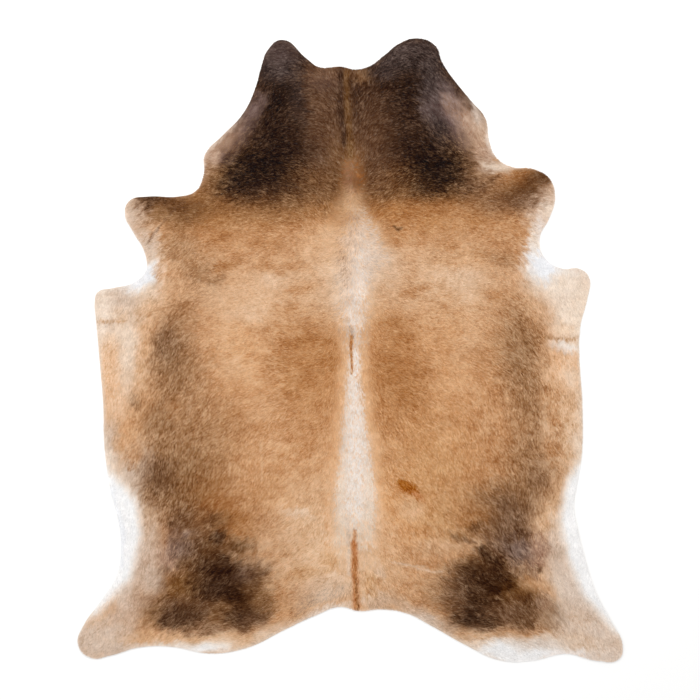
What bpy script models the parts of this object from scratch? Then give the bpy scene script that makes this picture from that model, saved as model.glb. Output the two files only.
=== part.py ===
"""Hair-on cowhide rug, one whole hide laid flat with the coat up.

Metres. X runs across the hide, Y from the rump to the neck, Z up. The hide is centred on the
origin and its flesh side lies on Z = 0.
"""

import bpy

LEATHER = 0.0025  # tanned skin, flesh side down
COAT = 0.0035  # short hair combed flat, as it lies on the skin
THICKNESS = LEATHER + COAT
CURVE_STEPS = 7  # straight runs from one landmark to the next
CUT_EDGE = 0.0008  # width of the trimmed edge's chamfer

# The hide's edge, clockwise from above, as stretches between the places a tanner would name.
# Columns: landmark, x, y.
NECK = (
    ("left lobe shoulder", -0.295, 1.085),
    ("left lobe top", -0.245, 1.120),
    ("left lobe slope", -0.160, 1.055),
    ("nape left", -0.110, 1.020),
    ("nape tuft", -0.030, 1.020),
    ("nape dip", 0.015, 1.010),
    ("nape right", 0.065, 1.020),
    ("right lobe slope", 0.125, 1.065),
    ("right lobe rise", 0.175, 1.105),
    ("right lobe top", 0.240, 1.125),
    ("right lobe shoulder", 0.305, 1.100),
    ("right lobe side", 0.330, 1.040),
)
RIGHT_CHEEK = (
    ("cheek", 0.435, 0.900),
    ("jaw", 0.485, 0.840),
    ("throat", 0.500, 0.755),
    ("throat foot", 0.525, 0.695),
)
RIGHT_FORELEG = (
    ("root", 0.585, 0.660),
    ("top", 0.650, 0.655),
    ("tip", 0.715, 0.620),
    ("end", 0.735, 0.550),
    ("underside", 0.715, 0.480),
    ("armpit top", 0.680, 0.405),
    ("armpit", 0.700, 0.335),
    ("armpit floor", 0.765, 0.295),
    ("elbow top", 0.825, 0.295),
    ("elbow", 0.860, 0.265),
    ("elbow underside", 0.855, 0.195),
)
RIGHT_BELLY = (
    ("girth", 0.830, 0.100),
    ("rib", 0.825, 0.000),
    ("belly", 0.835, -0.180),
    ("belly low", 0.835, -0.350),
    ("flank", 0.815, -0.490),
    ("flank fold", 0.805, -0.560),
)
RIGHT_HINDLEG = (
    ("thigh", 0.820, -0.645),
    ("thigh low", 0.845, -0.745),
    ("hock", 0.885, -0.870),
    ("shank", 0.940, -0.975),
    ("tip", 0.980, -1.060),
    ("foot", 0.965, -1.110),
    ("sole", 0.890, -1.115),
    ("arch", 0.775, -1.090),
    ("buttock corner", 0.655, -1.115),
    ("buttock foot", 0.540, -1.115),
    ("buttock", 0.415, -1.060),
)
RUMP = (
    ("right rump", 0.290, -0.990),
    ("right rump dip", 0.200, -0.945),
    ("right of tail", 0.110, -0.930),
    ("tail root", 0.030, -0.935),
    ("left of tail", -0.035, -0.920),
    ("left rump dip", -0.120, -0.950),
    ("left rump", -0.235, -1.005),
)
LEFT_HINDLEG = (
    ("buttock", -0.370, -1.070),
    ("buttock corner", -0.505, -1.090),
    ("arch", -0.640, -1.065),
    ("sole", -0.750, -1.065),
    ("foot", -0.860, -1.095),
    ("toe", -0.930, -1.105),
    ("tip", -0.980, -1.055),
    ("shank", -0.960, -0.990),
    ("hock", -0.900, -0.905),
    ("thigh low", -0.840, -0.810),
    ("thigh", -0.825, -0.715),
    ("thigh high", -0.835, -0.615),
)
LEFT_BELLY = (
    ("flank", -0.865, -0.490),
    ("belly low", -0.885, -0.345),
    ("belly", -0.890, -0.180),
    ("rib", -0.905, 0.000),
    ("girth", -0.915, 0.110),
)
LEFT_FORELEG = (
    ("elbow underside", -0.920, 0.170),
    ("elbow", -0.910, 0.210),
    ("elbow top", -0.855, 0.225),
    ("armpit floor", -0.780, 0.245),
    ("armpit", -0.735, 0.290),
    ("armpit top", -0.740, 0.360),
    ("underside", -0.780, 0.430),
    ("end", -0.810, 0.495),
    ("tip", -0.795, 0.540),
    ("top", -0.730, 0.555),
    ("root", -0.620, 0.555),
)
LEFT_CHEEK = (
    ("throat foot", -0.555, 0.575),
    ("throat", -0.525, 0.635),
    ("jaw", -0.520, 0.710),
    ("cheek low", -0.460, 0.775),
    ("cheek", -0.385, 0.855),
    ("cheek high", -0.340, 0.950),
    ("lobe side", -0.320, 1.020),
)
STRETCHES = (
    NECK,
    RIGHT_CHEEK,
    RIGHT_FORELEG,
    RIGHT_BELLY,
    RIGHT_HINDLEG,
    RUMP,
    LEFT_HINDLEG,
    LEFT_BELLY,
    LEFT_FORELEG,
    LEFT_CHEEK,
)


def clear_scene():
    for obj in list(bpy.data.objects):
        bpy.data.objects.remove(obj)


def hair_on_hide():
    """The part's one material: a caramel coat with the soft sheen of short hair."""
    material = bpy.data.materials.new("hair_on_hide")
    material.use_nodes = True
    shader = material.node_tree.nodes["Principled BSDF"]
    shader.inputs["Base Color"].default_value = (0.50, 0.29, 0.14, 1.0)
    shader.inputs["Roughness"].default_value = 0.7
    shader.inputs["Metallic"].default_value = 0.0
    return material


def hide_outline(name):
    """A flat, filled curve through the landmarks, extruded to the hide's thickness."""
    curve = bpy.data.curves.new(name, "CURVE")
    curve.dimensions = "2D"
    curve.fill_mode = "BOTH"
    curve.extrude = THICKNESS / 2
    curve.resolution_u = CURVE_STEPS
    landmarks = [row for stretch in STRETCHES for row in stretch]
    spline = curve.splines.new("BEZIER")
    spline.bezier_points.add(len(landmarks) - 1)
    for point, (_, x, y) in zip(spline.bezier_points, landmarks):
        point.co = (x, y, 0.0)
        point.handle_left_type = point.handle_right_type = "AUTO"
    spline.use_cyclic_u = True
    return bpy.data.objects.new(name, curve)


def centre_of(obj):
    """Middle of the object's box in X and Y."""
    corners = obj.bound_box
    spans = [[corner[axis] for corner in corners] for axis in (0, 1)]
    return [(min(span) + max(span)) / 2 for span in spans]


def trim_edge(obj):
    """A hide is cut by hand with a knife, so its rim is broken by a small chamfer."""
    weld = obj.modifiers.new("weld_caps", "WELD")
    weld.merge_threshold = 0.00005
    bevel = obj.modifiers.new("trimmed_edge", "BEVEL")
    bevel.width = CUT_EDGE
    bevel.segments = 1
    bevel.limit_method = "ANGLE"


def build():
    clear_scene()
    rug = bpy.data.collections.new("cowhide_rug")
    bpy.context.scene.collection.children.link(rug)
    hide = hide_outline("cowhide")
    hide.data.materials.append(hair_on_hide())
    rug.objects.link(hide)
    bpy.context.view_layer.update()
    middle_x, middle_y = centre_of(hide)
    hide.location = (-middle_x, -middle_y, THICKNESS / 2)
    trim_edge(hide)


build()
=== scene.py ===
import math
from functools import partial

import bmesh
import bpy
import numpy as np
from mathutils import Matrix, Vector
from mathutils.geometry import delaunay_2d_cdt


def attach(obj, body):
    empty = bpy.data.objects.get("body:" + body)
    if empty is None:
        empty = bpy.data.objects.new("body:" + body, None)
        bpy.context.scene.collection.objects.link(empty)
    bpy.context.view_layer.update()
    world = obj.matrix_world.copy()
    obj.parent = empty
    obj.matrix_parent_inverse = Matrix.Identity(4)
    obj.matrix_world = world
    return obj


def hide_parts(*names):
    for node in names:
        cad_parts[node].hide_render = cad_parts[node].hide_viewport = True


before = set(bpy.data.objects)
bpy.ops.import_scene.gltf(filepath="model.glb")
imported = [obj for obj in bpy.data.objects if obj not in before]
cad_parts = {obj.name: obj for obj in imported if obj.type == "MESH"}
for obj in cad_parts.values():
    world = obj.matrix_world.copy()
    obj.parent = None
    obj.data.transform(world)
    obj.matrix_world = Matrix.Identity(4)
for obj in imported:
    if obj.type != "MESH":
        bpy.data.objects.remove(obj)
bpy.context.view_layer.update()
scene = bpy.context.scene


def addObject(name, data):
    made = bpy.data.objects.new(name, data)
    scene.collection.objects.link(made)
    return made


# Camera: straight down, head end of the hide at the top
view = {
    "height": 5.0,     # metres
    "width": 2.5235,   # metres of floor in view from side to side
    "sensor": 36.0,    # mm
}
cameraData = bpy.data.cameras.new("camera")
cameraData.sensor_width = view["sensor"]
cameraData.lens = view["sensor"] * view["height"] / view["width"]
scene.camera = addObject("camera", cameraData)
scene.camera.location = (0, 0, view["height"])
scene.view_settings.view_transform = "Standard"
print("camera ready")


def hexParts(hexColour):
    return np.array([int(hexColour[i:i + 2], 16) for i in (1, 3, 5)]) / 255


def toLinear(colour):
    # sRGB, as hex or as parts from 0 to 1, to linear
    parts = hexParts(colour) if isinstance(colour, str) else colour
    return np.where(parts <= 0.04045, parts / 12.92, ((parts + 0.055) / 1.055) ** 2.4)


def fillInputs(node, inputs):
    # each input takes a plain value or a link, and a node stands for its first output
    for key, value in dict(inputs).items():
        if isinstance(value, bpy.types.Node):
            value = value.outputs[0]
        if isinstance(value, bpy.types.NodeSocket):
            node.id_data.links.new(value, node.inputs[key])
        else:
            node.inputs[key].default_value = value


def addNode(tree, kind, inputs=(), **settings):
    node = tree.nodes.new(kind)
    for name, value in settings.items():
        setattr(node, name, value)
    fillInputs(node, inputs)
    return node


def newMaterial(name):
    # the material, what adds a node to it, and its shader
    material = bpy.data.materials.new(name)
    material.use_nodes = True
    tree = material.node_tree
    return material, partial(addNode, tree), tree.nodes["Principled BSDF"]


# Studio: overcast dome, one large soft box over the head end, a weaker one from the left
studio = {
    "dome": ("#F4F5F7", 0.93),
    "boxes": [
        # name, place, size, watts
        ("head_box", (0.3, 3.0, 3.6), 3.0, 95),
        ("left_box", (-3.2, 0.6, 3.6), 3.0, 50),
    ],
    "floor": "#F4F3F1",
    "floorSize": 14.0,
}


def makeStudio():
    world = bpy.data.worlds.new("overcast_dome")
    world.use_nodes = True
    skyColour, strength = studio["dome"]
    fillInputs(world.node_tree.nodes["Background"],
               {"Color": (*toLinear(skyColour), 1), "Strength": strength})
    scene.world = world
    for name, place, size, watts in studio["boxes"]:
        light = bpy.data.lights.new(name, "AREA")
        light.shape = "SQUARE"
        light.size = size
        light.energy = watts
        box = addObject(name, light)
        box.location = place
        box.rotation_euler = (-Vector(place)).to_track_quat("-Z", "Y").to_euler()
    half = studio["floorSize"] / 2
    mesh = bpy.data.meshes.new("floor")
    mesh.from_pydata([(-half, -half, 0), (half, -half, 0), (half, half, 0), (-half, half, 0)], [],
                     [(0, 1, 2, 3)])
    # Matt painted board: wide dull highlight, no pattern
    paint, _, shader = newMaterial("matt_painted_board")
    fillInputs(shader, {"Base Color": (*toLinear(studio["floor"]), 1), "Roughness": 0.9,
                        "Specular IOR Level": 0.1})
    mesh.materials.append(paint)
    addObject("floor", mesh)


makeStudio()
print("studio ready")


# What varies from place to place comes from one lattice of random numbers, smoothed between them
noise = {
    "seed": 7,
    "points": 512,           # across the lattice, before it repeats
    "shift": (37.3, 91.7),   # from one layer to the next
}
lattice = np.random.default_rng(noise["seed"]).random((noise["points"], noise["points"])) * 2 - 1


def softStep(value):
    value = np.clip(value, 0, 1)
    return value * value * (3 - 2 * value)


def smoothNoise(x, y, size, layer):
    u = x / size + noise["shift"][0] * layer
    v = y / size + noise["shift"][1] * layer
    i = np.floor(u).astype(int)
    j = np.floor(v).astype(int)
    s = softStep(u - i)
    t = softStep(v - j)
    i0, i1, j0, j1 = [k % noise["points"] for k in (i, i + 1, j, j + 1)]
    low = lattice[i0, j0] * (1 - s) + lattice[i1, j0] * s
    high = lattice[i0, j1] * (1 - s) + lattice[i1, j1] * s
    return low * (1 - t) + high * t


# The coat's tables are in centimetres from the hide's middle, degrees and percent.

# How the hair lies. Each row: height up the hide, then pairs of distance out from the spine and
# degrees the hair falls below straight out. Hair parts at the spine, and turns round at the withers.
hairFall = [
    (106, [(0, -90), (15, -38), (24, 10), (33, 58)]),
    (90, [(0, -90), (5, -70), (15, -5), (30, 62), (40, 58)]),
    (75, [(0, -90), (5, -70), (15, -5), (30, 14), (45, 62)]),
    (69, [(0, -90), (4, -65), (15, -8), (45, 6), (75, 0)]),
    (64, [(0, 90), (3, -40), (12, -30), (30, -4), (75, -5)]),
    (52, [(0, 90), (3, 10), (8, -50), (16, -14), (45, 4), (62, 4), (80, 30)]),
    (30, [(0, 90), (3, 70), (8, 10), (30, 10), (48, 2), (62, 48), (80, 70)]),
    (15, [(0, 90), (3, 75), (10, 8), (45, 10), (60, 46), (75, 60), (90, 72)]),
    (0, [(0, 90), (3, 80), (12, 16), (30, 6), (45, 26), (60, 52), (75, 80)]),
    (-15, [(0, 90), (4, 80), (14, 28), (30, 27), (45, 46), (60, 60), (75, 75)]),
    (-30, [(0, 90), (5, 80), (15, 45), (45, 54), (60, 65), (75, 76)]),
    (-45, [(0, 90), (6, 80), (15, 50), (30, 60), (45, 58), (60, 62), (78, 72)]),
    (-60, [(0, 90), (6, 80), (15, 52), (30, 56), (45, 45), (62, 66), (78, 86)]),
    (-75, [(0, 90), (6, 75), (15, 43), (30, 42), (45, 33), (60, 58), (78, 82)]),
    (-90, [(0, 90), (6, 70), (15, 34), (30, 18), (45, 15), (62, 50), (80, 68)]),
    (-106, [(0, 90), (30, 8), (50, 12), (62, 28), (76, 60), (92, 55)]),
]
spineX = 0.008  # the spine lies a little right of the box's middle
fallWander = [(14, 0.11, 1), (11, 0.035, 2)]  # degrees the hair strays, over how far, noise layer


def hairWay(x, y):
    # which way the hair points, as its part along x and its part along y
    out = np.abs(x - spineX)
    rows = hairFall[::-1]
    heights = np.array([height for height, _ in rows]) / 100
    falls = np.array([np.interp(out, *(np.array(pairs) / (100, 1)).T) for _, pairs in rows])
    above = np.clip(np.searchsorted(heights, y), 1, len(rows) - 1)
    part = np.clip((y - heights[above - 1]) / (heights[above] - heights[above - 1]), 0, 1)
    column = np.arange(len(out))
    fall = falls[above - 1, column] * (1 - part) + falls[above, column] * part
    for degrees, size, layer in fallWander:
        fall = fall + degrees * smoothNoise(x, y, size, layer)
    fall = np.radians(fall)
    return np.where(x < spineX, -1, 1) * np.cos(fall), -np.sin(fall)


def streaks(x, y, way, width, length, layer):
    # noise drawn out along the hair, so that it shows as locks
    steps = np.linspace(-0.5, 0.5, 9) * length
    total = 0
    for step in steps:
        total = total + smoothNoise(x + step * way[0], y + step * way[1], width, layer)
    contrast = 2.2  # drawing the noise out flattens it, and this brings it back
    return total / len(steps) * contrast


# 'rim' is white hair with painted shade in it, bluish grey, as at the rims of the white patches
coatColours = {
    "white": "#F3F2F1", "rim": "#E9E9EB", "pearl": "#EDE6E1", "cream": "#EAD9C6",
    "sand": "#DCB68F", "honey": "#E4B98E", "fawn": "#D2A070", "tan": "#CC9B6E",
    "caramel": "#B67D4B", "ochre": "#C4905B", "amber": "#A56A38", "rust": "#A8601F",
    "bronze": "#6E4826", "brown": "#8C613C", "walnut": "#6E4A31", "umber": "#5A351B",
    "chocolate": "#3D2619", "soot": "#1A0E08", "slate": "#42342F", "mauve": "#7A6058",
    "blush": "#BC9A80", "ash": "#B9ABA0", "biscuit": "#D5BEA9", "oat": "#DCC8B6",
    "clay": "#CBAC92", "tawny": "#A98068", "bone": "#E2D3C5", "sienna": "#BC7743",
    "espresso": "#30180B", "plum": "#785D50", "russet": "#744620", "apricot": "#E2A86E",
}

# Patches of the coat in the order they lie over each other: colour, strength, x, y, half width and
# half height, then turn and softness of the edge where they aren't 0 and 80
coatPatches = [
    # shoulders and back
    ("amber", 75, -50, 49, 18, 6, 0, 90), ("umber", 80, -55, 53, 8, 5),
    ("bronze", 50, -45, 50, 22, 5.5, 0, 90), ("caramel", 55, -42, 41, 24, 7, 0, 90),
    ("caramel", 80, 34, 47, 34, 7, 0, 90), ("brown", 35, 25, 52, 24, 4.5, 0, 90),
    ("caramel", 50, 9, 48, 12, 7, 0, 90), ("brown", 40, -2, 53, 14, 5, 0, 90),
    ("ochre", 60, 28, 46, 4, 3), ("amber", 50, 14, 48, 9, 6, 0, 90),
    ("umber", 55, 41, 56, 8, 3, 0, 90), ("sand", 45, -12, 27, 11, 12, 0, 90),
    ("apricot", 30, 24, -14, 26, 42, 0, 100), ("cream", 80, 2, -65, 10, 6, 0, 90),
    ("sand", 60, -10, 18, 10, 9, 0, 90), ("sand", 62, -35, 18, 14, 9, 10, 90),
    ("sand", 66, 22, 24, 20, 12, -10, 90), ("sand", 85, 39, 20, 11, 15, 0, 90),
    ("biscuit", 45, 10, 32, 7, 10, 0, 90), ("biscuit", 30, -6, 24, 5, 9, 0, 90),
    ("caramel", 35, 58, 42, 6, 8, 0, 90), ("brown", 50, -62, 38, 6, 6, 0, 90),
    ("brown", 32, -53, 28, 8, 8, 0, 90), ("fawn", 80, -38, -2, 10, 14, 0, 90),
    ("caramel", 92, -14, -8, 12, 20, 3, 75), ("caramel", 92, 17, -8, 12, 22, -3, 75),
    ("amber", 30, -12, -1, 7, 6, 0, 100), ("amber", 35, 19, -12, 7, 8, 0, 100),
    ("fawn", 90, 36, 2, 10, 16, 0, 90), ("fawn", 40, -22, -42, 14, 14, 0, 90),
    ("sand", 75, -14, -62, 14, 14, 0, 90), ("ochre", 65, 30, -46, 14, 20, 0, 90),
    ("apricot", 40, 15, -60, 11, 14, 0, 90), ("caramel", 35, 42, -50, 8, 8, 0, 90),
    ("brown", 60, 40, -66, 4, 3, 0, 90), ("ochre", 50, 32, -60, 8, 6, 0, 90),
    ("sand", 50, 30, -70, 6, 3, 0, 90), ("caramel", 60, -31, -50, 7, 5, 20, 90),
    ("sand", 65, -6, -77, 22, 12), ("sand", 45, 12, -80, 9, 12),
    ("fawn", 45, 15.5, -72, 6, 4), ("sand", 60, -5, -70, 8, 7),
    ("fawn", 50, 24, -84, 10, 7, 0, 90), ("brown", 50, 32.5, -87, 5, 6, 0, 90),
    ("caramel", 55, -22, -90, 8, 5, 10, 90), ("fawn", 55, -24, -55.5, 5, 3, 0, 90),
    ("cream", 45, -19, -58.8, 5, 1.3, -5, 90), ("rust", 95, 19.8, -49, 3.2, 2.4, -30, 50),
    ("rust", 90, 21.6, -50.6, 2.6, 1.7, -40, 60), ("sienna", 80, 23.6, -52.6, 2.4, 1, -45),
    # mottles
    ("amber", 45, -47, 47.5, 5, 2.5, 10), ("amber", 45, -46, 40.5, 5, 2, 20),
    ("amber", 45, -31, 45.5, 4, 2), ("amber", 40, -29, 38.5, 5, 1.8, -10),
    ("clay", 10, -30, 28, 36, 18, 0, 100), ("clay", 15, 38, 31, 30, 15, 0, 100),
    ("amber", 55, -42, 30.5, 5, 1.8, 10), ("brown", 50, -47, 25.5, 3, 1.4, 20),
    ("caramel", 50, -30, 31, 3, 2), ("caramel", 55, -22, 29.5, 5, 1.8),
    ("caramel", 50, -17, 22.5, 5, 1.8, 10), ("brown", 35, -54, 28.5, 4, 3),
    ("caramel", 45, -22, 15, 6, 2.2), ("caramel", 55, -23, 8.5, 5, 2.2),
    ("amber", 55, -18, 3, 5, 1.8, 10), ("amber", 45, -10, 3, 4, 1.4, -10),
    ("amber", 45, -25, -4.5, 4, 2.2, 10), ("amber", 40, -8, -4.5, 3, 3),
    ("amber", 35, -18, -11.5, 5, 2), ("fawn", 60, -27, -12.5, 4, 2),
    ("caramel", 50, -42, -22.5, 5, 2, 20), ("caramel", 45, -14, -35, 5, 2),
    ("caramel", 40, -31, -27, 4, 2, 20), ("caramel", 35, -13, -43, 4, 2, 20),
    ("amber", 40, 33, 44, 5, 4), ("amber", 50, 44, 46, 5, 3.5, 20),
    ("caramel", 50, 35, 37.5, 5, 2), ("amber", 35, 32, 32.5, 4, 1.4, -10),
    ("caramel", 45, 16, 40, 12, 6, 0, 90), ("caramel", 50, 16, 40, 4, 3),
    ("brown", 45, 46.5, 33.5, 4, 1.8, -20), ("brown", 35, 55, 32, 4, 3),
    ("caramel", 60, 23, 21.5, 5, 1.4, 15), ("caramel", 50, 53, 19.5, 4, 2),
    ("caramel", 40, 33, 14, 4, 1.6), ("amber", 50, 15, 9, 6, 2.2),
    ("amber", 50, 19, 3, 4, 2, 20), ("amber", 30, 12, -6, 4, 4),
    ("amber", 30, 25, -6, 4, 3), ("amber", 35, 21, -15, 5, 3),
    ("caramel", 40, 16, -27, 6, 3), ("caramel", 35, 14, -38, 5, 2),
    ("caramel", 40, 33, -25, 5, 3), ("caramel", 50, 9, -45, 2, 2),
    ("caramel", 60, 6.5, -71.5, 2.6, 2.4), ("ochre", 50, 7, -84, 3, 5),
    ("ochre", 50, -6, -74.5, 3, 4), ("ochre", 40, -18, -80, 5, 2, 10),
    ("cream", 22, -36, 13, 6, 3.5, 0, 90), ("cream", 20, -26, 26.5, 6, 3, 0, 90),
    ("cream", 28, 41, 26.5, 6, 6, 0, 100), ("fawn", 60, 42, 32, 7, 3.5),
    ("caramel", 35, 42, 35, 10, 7, 0, 90), ("sand", 50, 43, 1, 6, 5),
    ("sand", 40, -42, -6, 5, 4), ("sand", 40, 47, -26, 3, 3),
    ("fawn", 40, 35, -34, 5, 4),
    # sides
    ("caramel", 45, -48, -36, 12, 16, 0, 90), ("brown", 40, -61, 11, 5, 7, -15, 90),
    ("walnut", 65, -65, 2, 5, 7, 0, 90), ("brown", 60, -62, -7, 8, 10, 10, 90),
    ("brown", 55, -68, -24, 7, 10, 0, 90), ("brown", 40, -54, -28, 12, 10, 0, 90),
    ("brown", 80, -61, -46, 14, 12), ("walnut", 60, -69, -46, 6, 8, 10, 90),
    ("umber", 50, -58, -52, 7, 5, 0, 90), ("amber", 60, -52, -54, 10, 8, 0, 90),
    ("walnut", 82, -59, -63, 7, 7, 0, 90), ("amber", 85, -44, -62, 11, 7, 10),
    ("walnut", 50, -50, -64, 5, 5, 0, 90), ("caramel", 40, 51, -31, 10, 16, 0, 90),
    ("brown", 50, 59, 4, 7, 12, 0, 90), ("caramel", 30, 50, 3, 5, 20, 0, 90),
    ("brown", 50, 62, -5, 7, 13, 0, 90), ("brown", 45, 65, -22, 6, 10, 0, 90),
    ("tan", 60, 61, -30, 3, 5), ("brown", 52, 65, -40, 9, 11),
    ("walnut", 40, 68, -46, 5, 5, 0, 90), ("brown", 60, 58, -53, 13, 6),
    ("walnut", 80, 56, -58, 9, 7, 0, 90), ("amber", 60, 45, -60, 7, 5),
    ("umber", 60, 44.5, -62.5, 2.5, 2), ("walnut", 70, 56, -65, 8, 5, 0, 90),
    # belly bands
    ("fawn", 70, -82, -24, 7, 14, 0, 70), ("oat", 60, -87, -39, 4, 5),
    ("biscuit", 90, -80, -46, 5.5, 11, -25), ("caramel", 60, -77.2, -37.5, 2, 3.5),
    ("oat", 75, -75.7, -55, 2.5, 6), ("biscuit", 80, -87, -32, 3.5, 8),
    ("bone", 80, -88.5, -39, 3, 5, -15), ("cream", 75, 83, -19, 2.5, 7),
    ("sand", 50, 65, 17, 3, 5), ("cream", 60, -76, 12, 3, 2),
    ("cream", 75, -85, 0, 10, 20, 0, 50), ("biscuit", 90, -84, 19, 14, 7, 0, 60),
    ("sand", 60, -84, 12, 5, 3), ("cream", 70, -90, 12, 4, 12, 0, 70),
    ("sand", 50, -86.5, -2, 2, 8), ("fawn", 50, -74, 1, 2.5, 5),
    ("honey", 75, -86, -10, 5, 10, 0, 90), ("sand", 80, -74, -6, 3, 5),
    ("brown", 60, -76.5, -18, 2.5, 2), ("fawn", 60, -72, -16, 3, 5),
    ("cream", 50, -79, 0, 3, 12), ("sand", 75, -71, 16, 5, 6, 0, 90),
    ("tan", 75, -66.5, 30, 3.5, 4), ("sand", 95, 76, -26, 8, 18, 0, 70),
    ("cream", 70, 83, -36, 4, 10), ("caramel", 60, 73.5, -24, 3, 5),
    ("caramel", 60, 72, -36, 2.5, 4), ("fawn", 50, 71, -15, 3, 5),
    ("honey", 80, 79, -6, 6, 6, 0, 60), ("cream", 60, 80, -8, 3, 5),
    ("pearl", 90, 79, 2.2, 6, 2.2, 0, 70), ("cream", 90, 81, 15, 10, 13, 0, 50),
    ("sand", 45, 77, 8, 3.5, 3), ("biscuit", 60, 76, 20, 4, 3, 0, 90),
    ("biscuit", 80, 81, 27, 6, 4), ("rim", 60, 78, 29, 5, 2),
    ("cream", 80, -73, 27, 7, 9, -20, 60), ("rim", 90, -74.5, 26.5, 7.5, 4, 25, 60),
    ("rim", 70, -70, 29.5, 2.5, 3.5, -10, 70), ("oat", 85, -72, 39, 3, 5, 15),
    ("tan", 60, -66.5, 29.5, 3, 3.5), ("bone", 75, -76.2, 40, 2, 4, 25),
    ("cream", 80, 72, 26, 11, 7, 0, 50), ("pearl", 90, 67, 38, 3, 6, 0, 60),
    ("rim", 95, 70, 31.5, 7, 6.5, 20, 60), ("cream", 80, 66, 42, 2, 6, 10),
    # forelegs
    ("umber", 88, -68, 52, 11, 4.5, 0, 70), ("chocolate", 65, -72, 54.5, 5, 2.5),
    ("brown", 70, -60, 47, 5, 3), ("clay", 80, -76, 45, 5, 6, 30),
    ("tan", 70, -69, 43, 4, 4, 0, 90), ("brown", 90, -68, 48.5, 4, 3, 30),
    ("biscuit", 70, -79, 48, 3, 4), ("biscuit", 60, -71, 40, 3, 5, 20, 90),
    ("walnut", 85, 57, 57, 11, 7, 20), ("umber", 85, 65, 60, 10, 4, 25, 70),
    ("chocolate", 90, 69, 64.2, 5, 2.5, 20), ("chocolate", 40, 59, 58, 7, 3, 15),
    ("clay", 90, 68, 49, 6, 6), ("cream", 85, 71, 52, 3.5, 4.5, 0, 70),
    ("walnut", 65, 62, 54, 5, 3), ("clay", 80, 71, 57, 5, 3.5, 20),
    ("clay", 85, 53.5, 63.5, 3.5, 2.5),
    # neck
    ("amber", 70, -5, 100, 100, 54, 0, 10), ("brown", 80, -3, 102, 74, 49, 0, 12),
    ("umber", 75, -5, 103, 62, 44, 0, 12), ("chocolate", 90, 0, 104, 56, 40, 0, 14),
    ("brown", 65, -28, 53.5, 24, 5), ("umber", 80, -26, 59, 22, 5.5),
    ("umber", 70, 24, 60, 18, 5), ("chocolate", 75, -32, 59.5, 12, 4.5, 0, 90),
    ("walnut", 85, 45, 63, 6.5, 8), ("walnut", 60, -9, 80, 7, 20),
    ("umber", 80, -13, 62, 3.5, 4, 0, 90), ("walnut", 70, 7, 72, 7, 15),
    ("brown", 55, -4, 69, 4, 8, 0, 90), ("amber", 35, 2, 68, 3, 6, 0, 90),
    ("mauve", 35, -9, 98, 4, 4, 0, 90), ("walnut", 60, -6, 100, 10, 3),
    ("brown", 60, 5, 98, 3, 3), ("soot", 65, -24, 92, 6, 7, 0, 90),
    ("soot", 65, -27, 79, 7, 13, 0, 90), ("soot", 85, -31, 66.5, 13, 7.5, 8, 90),
    ("soot", 50, -41, 62, 8, 3.5, 10, 90), ("slate", 85, -25, 105, 9, 8, 0, 60),
    ("slate", 50, -18, 92, 3, 8), ("mauve", 28, -25, 108, 9, 4),
    ("soot", 60, 21, 94, 7, 7, 0, 90), ("slate", 70, 12, 100, 5, 4),
    ("soot", 60, -38, 69, 4, 3), ("soot", 90, 31, 66, 10, 8.5, 0, 90),
    ("soot", 45, 24, 80, 7, 14, 0, 90), ("slate", 85, 22, 106, 13, 7, 0, 50),
    ("soot", 50, 26, 103, 8, 4.5, 0, 90),
    # cheeks
    ("slate", 90, 31, 90, 6, 14, 10, 60), ("mauve", 35, 29, 88, 3, 5),
    ("mauve", 80, 37, 87, 4, 9, 30, 70), ("blush", 45, 36, 88.5, 2, 5, 35),
    ("mauve", 50, 40, 77, 3.5, 6, 20), ("blush", 80, 44, 80, 4, 10, 18),
    ("blush", 50, 42, 85, 2.5, 4, 30), ("clay", 80, 48.5, 78, 2.5, 8, 8, 70),
    ("bone", 70, 50.5, 74, 1.2, 5, 5), ("bone", 60, 46.5, 85, 1.4, 4, 20),
    ("blush", 80, 48.5, 69, 4, 4.5, -20, 70), ("brown", 40, 45.5, 64.5, 4, 3),
    ("cream", 80, 53, 66, 5, 2, -8, 70), ("mauve", 55, -39, 79, 4, 8, -35),
    ("blush", 50, -45, 75.5, 3, 5, -30), ("mauve", 50, -46, 70, 4, 3, 30),
    ("blush", 40, -42, 79, 3, 7, -42, 60), ("mauve", 70, -33.5, 88.5, 3, 5, -35),
    ("clay", 85, -53, 64.5, 2.5, 3.5), ("blush", 95, -50, 70, 4, 5, 0, 70),
    ("brown", 70, -49, 61, 5, 5),
    # left hip
    ("tawny", 75, -65, -72, 5, 8), ("plum", 65, -59, -71, 5, 5, 20),
    ("umber", 70, -58, -76.5, 4, 2.5), ("walnut", 50, -55, -70, 3, 5),
    ("umber", 85, -50, -71, 7, 4, 10), ("chocolate", 60, -47, -67, 2.5, 2, 30),
    ("brown", 90, -39.5, -70.5, 5, 2.8, 5, 100), ("russet", 95, -59.5, -85, 10, 6, 0, 60),
    ("umber", 85, -46, -84, 12, 9, -10, 60), ("walnut", 85, -60, -93.5, 12, 5, 0, 70),
    ("umber", 60, -58, -94, 9, 3.5), ("umber", 90, -38.5, -91, 9, 8, 0, 60),
    ("espresso", 95, -46, -78, 7.5, 4, -5), ("espresso", 90, -40, -85, 5, 6, -25),
    ("chocolate", 80, -48, -85, 8, 4, 0, 90), ("brown", 60, -44, -93.5, 3.5, 2, 0, 90),
    ("chocolate", 50, -61, -95.5, 8, 3, 0, 90), ("chocolate", 65, -37, -95.5, 6, 3, 10, 90),
    ("brown", 70, -72, -94, 5, 4.5, 0, 70), ("brown", 65, -48, -96.5, 3, 3.5),
    ("brown", 75, -31, -86, 4.5, 9), ("umber", 70, -34.5, -83, 3, 5),
    ("espresso", 60, -41, -84, 3, 4, -20), ("walnut", 80, -34.5, -78.5, 4.5, 3.5),
    ("plum", 25, -38, -79.5, 3.5, 2), ("caramel", 50, -66.5, -82, 1.8, 1.2),
    ("umber", 50, -40, -70, 4.5, 2.2), ("tan", 50, -67, -66, 3, 5),
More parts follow.
